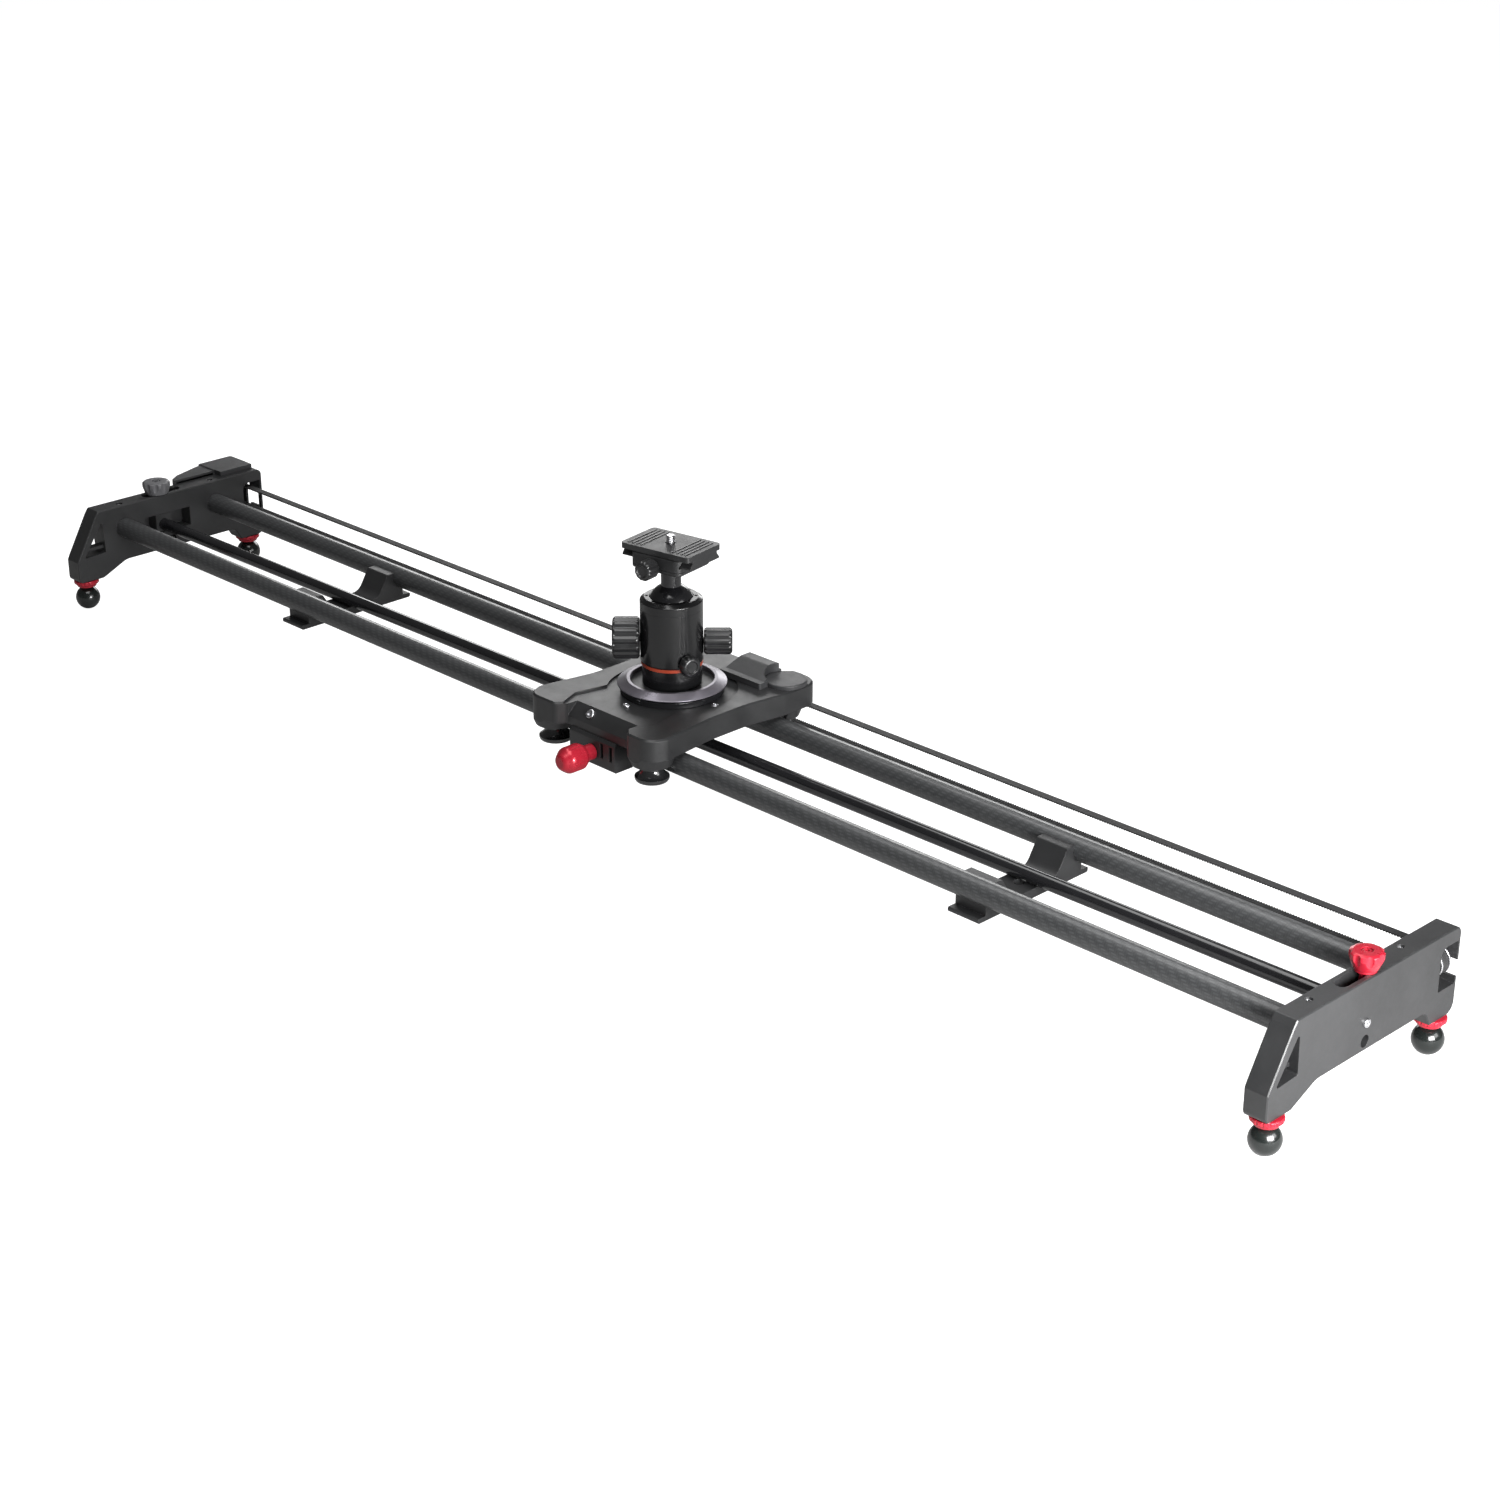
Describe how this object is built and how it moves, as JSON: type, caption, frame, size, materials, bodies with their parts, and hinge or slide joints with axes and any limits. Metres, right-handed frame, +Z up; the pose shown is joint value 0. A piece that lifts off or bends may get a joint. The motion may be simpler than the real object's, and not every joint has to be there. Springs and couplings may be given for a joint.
{
  "type": "camera slider",
  "caption": "Motorised two-rail camera slider with belt-driven carriage, pan turntable and ball head with quick-release clamp, on four ball feet.",
  "frame": {"origin": "on the floor, midway between the four feet", "axes": "+X along the rails towards the idler end, +Y towards the drive belt, +Z up"},
  "size_m": [1.2414, 0.1953, 0.2025],
  "materials": {
    "black_anodised": "satin black anodised, fine bead-blasted grain",
    "grey_anodised": "satin grey anodised, turned",
    "red_anodised": "satin red anodised, knurled",
    "orange_anodised": "satin orange anodised",
    "carbon_tube": "satin lacquered carbon fibre weave",
    "black_steel": "polished black oxide",
    "bright_steel": "bright zinc and stainless steel",
    "silver_aluminium": "natural turned aluminium",
    "black_plastic": "fine moulded texture",
    "roller_plastic": "glossy black acetal",
    "foot_rubber": "glossy black rubber",
    "belt_rubber": "matt black toothed belt",
    "knob_rubber": "matt black ribbed rubber",
    "circuit_board": "green solder mask with black chips",
    "grey_plastic": "fine moulded texture"
  },
  "bodies": {
    "frame": {"left_end_plate": "black_anodised", "right_end_plate": "black_anodised", "front_rail_tube": "carbon_tube", "rear_rail_tube": "carbon_tube", "rail_end_plugs": "silver_aluminium", "rail_set_screws": "bright_steel", "left_cross_brace": "black_anodised", "right_cross_brace": "black_anodised", "cap_screws": "bright_steel", "foot_lock_rings": "red_anodised", "timing_belt": "belt_rubber", "idler_axle": "bright_steel", "gear_motor": "bright_steel", "drive_housing": "black_plastic", "electronics_cover": "black_plastic", "control_board": "circuit_board", "sockets": "black_plastic"},
    "power_button": {"power_button": "grey_plastic"},
    "idler_pulley": {"idler_pulley": "silver_aluminium"},
    "drive_pulley": {"drive_pulley": "silver_aluminium"},
    "left_front_foot": {"left_front_foot": "foot_rubber"},
    "right_front_foot": {"right_front_foot": "foot_rubber"},
    "left_rear_foot": {"left_rear_foot": "foot_rubber"},
    "right_rear_foot": {"right_rear_foot": "foot_rubber"},
    "guide_rod": {"guide_rod": "black_steel", "guide_rod_end_blocks": "black_anodised"},
    "angle_knob": {"angle_knob": "red_anodised"},
    "left_lock_knob": {"left_lock_knob": "grey_anodised"},
    "carriage": {"carriage_deck": "black_anodised", "deck_screws": "bright_steel", "roller_axles": "bright_steel", "roller_bearings": "bright_steel", "brake_block": "black_anodised", "belt_clamp": "black_anodised", "belt_clamp_cover": "black_plastic", "round_cap": "black_plastic", "turntable_bearing": "black_steel"},
    "front_left_roller": {"front_left_roller": "roller_plastic"},
    "front_right_roller": {"front_right_roller": "roller_plastic"},
    "rear_left_roller": {"rear_left_roller": "roller_plastic"},
    "rear_right_roller": {"rear_right_roller": "roller_plastic"},
    "brake_knob": {"brake_knob": "red_anodised"},
    "brake_plunger": {"brake_plunger": "bright_steel"},
    "turntable": {"turntable_rim": "grey_anodised", "turntable_disc": "black_anodised", "pan_spindle": "bright_steel", "pan_fork": "bright_steel", "head_base": "black_anodised", "pan_scale_ring": "orange_anodised"},
    "ball_head": {"head_housing": "black_anodised", "head_collar": "black_anodised"},
    "main_knob": {"main_knob": "knob_rubber"},
    "friction_knob": {"friction_knob": "knob_rubber"},
    "pan_knob": {"pan_knob": "knob_rubber"},
    "head_ball": {"ball_stem": "black_steel", "clamp_base": "black_anodised"},
    "clamp_jaw": {"clamp_jaw": "black_anodised"},
    "clamp_knob": {"clamp_knob": "knob_rubber"},
    "quick_plate": {"quick_plate": "black_anodised"},
    "camera_screw": {"camera_screw": "bright_steel"}
  },
  "joints": [
    {"name": "carriage_slide", "type": "slide", "parent": "frame", "child": "carriage", "axis": [1, 0, 0], "range_m": [-0.54, 0.49]},
    {"name": "front_left_roller_spin", "type": "hinge", "parent": "carriage", "child": "front_left_roller", "pos_m": [-0.0255, -0.0608, 0.064], "axis": [0, 0, 1], "continuous": true},
    {"name": "front_right_roller_spin", "type": "hinge", "parent": "carriage", "child": "front_right_roller", "pos_m": [0.0735, -0.0608, 0.064], "axis": [0, 0, 1], "continuous": true},
    {"name": "rear_left_roller_spin", "type": "hinge", "parent": "carriage", "child": "rear_left_roller", "pos_m": [-0.0255, 0.0608, 0.064], "axis": [0, 0, 1], "continuous": true},
    {"name": "rear_right_roller_spin", "type": "hinge", "parent": "carriage", "child": "rear_right_roller", "pos_m": [0.0735, 0.0608, 0.064], "axis": [0, 0, 1], "continuous": true},
    {"name": "idler_spin", "type": "hinge", "parent": "frame", "child": "idler_pulley", "pos_m": [0.5976, 0.081, 0.0611], "axis": [0, 1, 0], "continuous": true},
    {"name": "drive_spin", "type": "hinge", "parent": "frame", "child": "drive_pulley", "pos_m": [-0.618, 0.081, 0.0611], "axis": [0, 1, 0], "continuous": true},
    {"name": "turntable_pan", "type": "hinge", "parent": "carriage", "child": "turntable", "pos_m": [0.029, 0, 0.0934], "axis": [0, 0, 1], "continuous": true},
    {"name": "head_pan", "type": "hinge", "parent": "turntable", "child": "ball_head", "pos_m": [0.029, 0, 0.112], "axis": [0, 0, 1], "continuous": true},
    {"name": "ball_tilt", "type": "hinge", "parent": "ball_head", "child": "head_ball", "pos_m": [0.029, 0, 0.1515], "axis": [0.7009, 0.7133, 0], "range_deg": [-90, 28]},
    {"name": "main_knob_turn", "type": "hinge", "parent": "ball_head", "child": "main_knob", "pos_m": [0.00797, -0.0214, 0.1275], "axis": [-0.7009, -0.7133, 0], "range_deg": [0, 360]},
    {"name": "friction_knob_turn", "type": "hinge", "parent": "ball_head", "child": "friction_knob", "pos_m": [0.05003, 0.0214, 0.125], "axis": [0.7009, 0.7133, 0], "range_deg": [0, 360]},
    {"name": "pan_knob_turn", "type": "hinge", "parent": "ball_head", "child": "pan_knob", "pos_m": [0.0532, -0.00626, 0.115], "axis": [0.9681, -0.2504, 0], "range_deg": [0, 360]},
    {"name": "clamp_knob_turn", "type": "hinge", "parent": "head_ball", "child": "clamp_knob", "pos_m": [0.03369, -0.02659, 0.1853], "axis": [0.1736, -0.9848, 0], "range_deg": [0, 720]},
    {"name": "clamp_jaw_slide", "type": "slide", "parent": "head_ball", "child": "clamp_jaw", "axis": [0.1736, -0.9848, 0], "range_m": [0, 0.0016]},
    {"name": "quick_plate_slide", "type": "slide", "parent": "head_ball", "child": "quick_plate", "axis": [0.9848, 0.1736, 0], "range_m": [-0.012, 0.012]},
    {"name": "camera_screw_turn", "type": "hinge", "parent": "quick_plate", "child": "camera_screw", "pos_m": [0.029, 0, 0.19], "axis": [0, 0, 1], "continuous": true},
    {"name": "brake_knob_turn", "type": "hinge", "parent": "carriage", "child": "brake_knob", "pos_m": [0.025, -0.085, 0.0625], "axis": [0, 1, 0], "range_deg": [0, 252]},
    {"name": "brake_plunger_slide", "type": "slide", "parent": "carriage", "child": "brake_plunger", "axis": [0, 1, 0], "range_m": [0, 0.0007]},
    {"name": "guide_rod_swing", "type": "hinge", "parent": "frame", "child": "guide_rod", "pos_m": [-0.5992, -0.0065, 0.0574], "axis": [0, 0, 1], "range_deg": [-1.08, 0.17]},
    {"name": "angle_knob_turn", "type": "hinge", "parent": "guide_rod", "child": "angle_knob", "pos_m": [0.5992, 0.0066, 0.09], "axis": [0, 0, 1], "range_deg": [0, 360]},
    {"name": "left_lock_knob_turn", "type": "hinge", "parent": "frame", "child": "left_lock_knob", "pos_m": [-0.5992, -0.0065, 0.09], "axis": [0, 0, 1], "range_deg": [0, 360]},
    {"name": "left_front_foot_height", "type": "slide", "parent": "frame", "child": "left_front_foot", "axis": [0, 0, 1], "range_m": [-0.008, 0]},
    {"name": "left_rear_foot_height", "type": "slide", "parent": "frame", "child": "left_rear_foot", "axis": [0, 0, 1], "range_m": [-0.008, 0]},
    {"name": "right_front_foot_height", "type": "slide", "parent": "frame", "child": "right_front_foot", "axis": [0, 0, 1], "range_m": [-0.008, 0]},
    {"name": "right_rear_foot_height", "type": "slide", "parent": "frame", "child": "right_rear_foot", "axis": [0, 0, 1], "range_m": [-0.008, 0]},
    {"name": "power_button_press", "type": "slide", "parent": "frame", "child": "power_button", "axis": [1, 0, 0], "range_m": [0, 0.0008], "stiffness_N_per_m": 800, "springref_m": -0.0005}
  ],
  "couplings": [
    {"joint": "front_left_roller_spin", "follows": "carriage_slide", "rad_per_m": 133.33},
    {"joint": "front_right_roller_spin", "follows": "carriage_slide", "rad_per_m": 133.33},
    {"joint": "rear_left_roller_spin", "follows": "carriage_slide", "rad_per_m": -133.33},
    {"joint": "rear_right_roller_spin", "follows": "carriage_slide", "rad_per_m": -133.33},
    {"joint": "idler_spin", "follows": "carriage_slide", "rad_per_m": 130.89},
    {"joint": "drive_spin", "follows": "carriage_slide", "rad_per_m": 130.89},
    {"joint": "brake_plunger_slide", "follows": "brake_knob_turn", "m_per_rad": 0.00015915},
    {"joint": "clamp_knob_turn", "follows": "clamp_jaw_slide", "rad_per_m": 7853.9}
  ]
}
